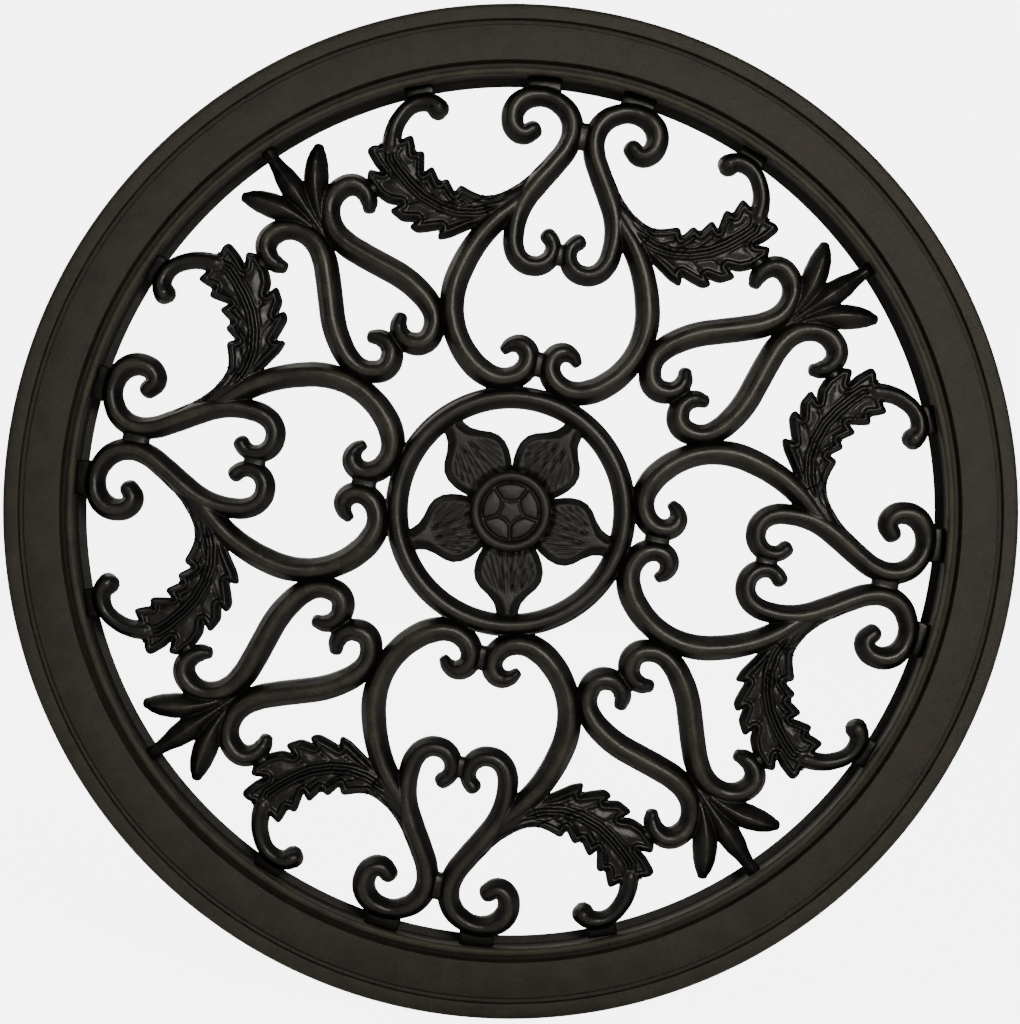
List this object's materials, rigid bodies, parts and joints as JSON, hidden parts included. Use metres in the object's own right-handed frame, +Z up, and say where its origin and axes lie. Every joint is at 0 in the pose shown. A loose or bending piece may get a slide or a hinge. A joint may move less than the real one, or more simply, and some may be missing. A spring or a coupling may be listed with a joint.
{
  "type": "round openwork scroll panel",
  "caption": "Round openwork ornamental panel: moulded face ring with a rear sleeve, heart and teardrop scrolls with leaves and sprigs, and a flower in a small ring at the middle",
  "frame": {"origin": "middle of the whole depth, on the axis of the rings", "axes": "+Z up, the face looks along -Y, the axis of the rings is Y, +X to the right seen from the front"},
  "size_m": [0.557, 0.03, 0.557],
  "materials": {
    "face_ring_black": "black coat over a fine pebbled casting, satin",
    "scrollwork_black": "smooth black coat, satin, thinner and lighter along the crowns"
  },
  "bodies": {
    "root": {"face_ring": "face_ring_black", "rear_sleeve": "face_ring_black", "hub_ring": "scrollwork_black", "flower_boss": "scrollwork_black", "petal_1": "scrollwork_black", "petal_2": "scrollwork_black", "petal_3": "scrollwork_black", "petal_4": "scrollwork_black", "petal_5": "scrollwork_black", "heart_scroll_1_right": "scrollwork_black", "heart_scroll_1_left": "scrollwork_black", "heart_arm_1_right": "scrollwork_black", "heart_arm_1_left": "scrollwork_black", "teardrop_bar_1_right": "scrollwork_black", "teardrop_bar_1_left": "scrollwork_black", "leaf_1_right": "scrollwork_black", "leaf_1_left": "scrollwork_black", "leaf_curl_1_right": "scrollwork_black", "leaf_curl_1_left": "scrollwork_black", "sprig_1": "scrollwork_black", "heart_scroll_2_right": "scrollwork_black", "heart_scroll_2_left": "scrollwork_black", "heart_arm_2_right": "scrollwork_black", "heart_arm_2_left": "scrollwork_black", "teardrop_bar_2_right": "scrollwork_black", "teardrop_bar_2_left": "scrollwork_black", "leaf_2_right": "scrollwork_black", "leaf_2_left": "scrollwork_black", "leaf_curl_2_right": "scrollwork_black", "leaf_curl_2_left": "scrollwork_black", "sprig_2": "scrollwork_black", "heart_scroll_3_right": "scrollwork_black", "heart_scroll_3_left": "scrollwork_black", "heart_arm_3_right": "scrollwork_black", "heart_arm_3_left": "scrollwork_black", "teardrop_bar_3_right": "scrollwork_black", "teardrop_bar_3_left": "scrollwork_black", "leaf_3_right": "scrollwork_black", "leaf_3_left": "scrollwork_black", "leaf_curl_3_right": "scrollwork_black", "leaf_curl_3_left": "scrollwork_black", "sprig_3": "scrollwork_black", "heart_scroll_4_right": "scrollwork_black", "heart_scroll_4_left": "scrollwork_black", "heart_arm_4_right": "scrollwork_black", "heart_arm_4_left": "scrollwork_black", "teardrop_bar_4_right": "scrollwork_black", "teardrop_bar_4_left": "scrollwork_black", "leaf_4_right": "scrollwork_black", "leaf_4_left": "scrollwork_black", "leaf_curl_4_right": "scrollwork_black", "leaf_curl_4_left": "scrollwork_black", "sprig_4": "scrollwork_black"}
  },
  "joints": []
}
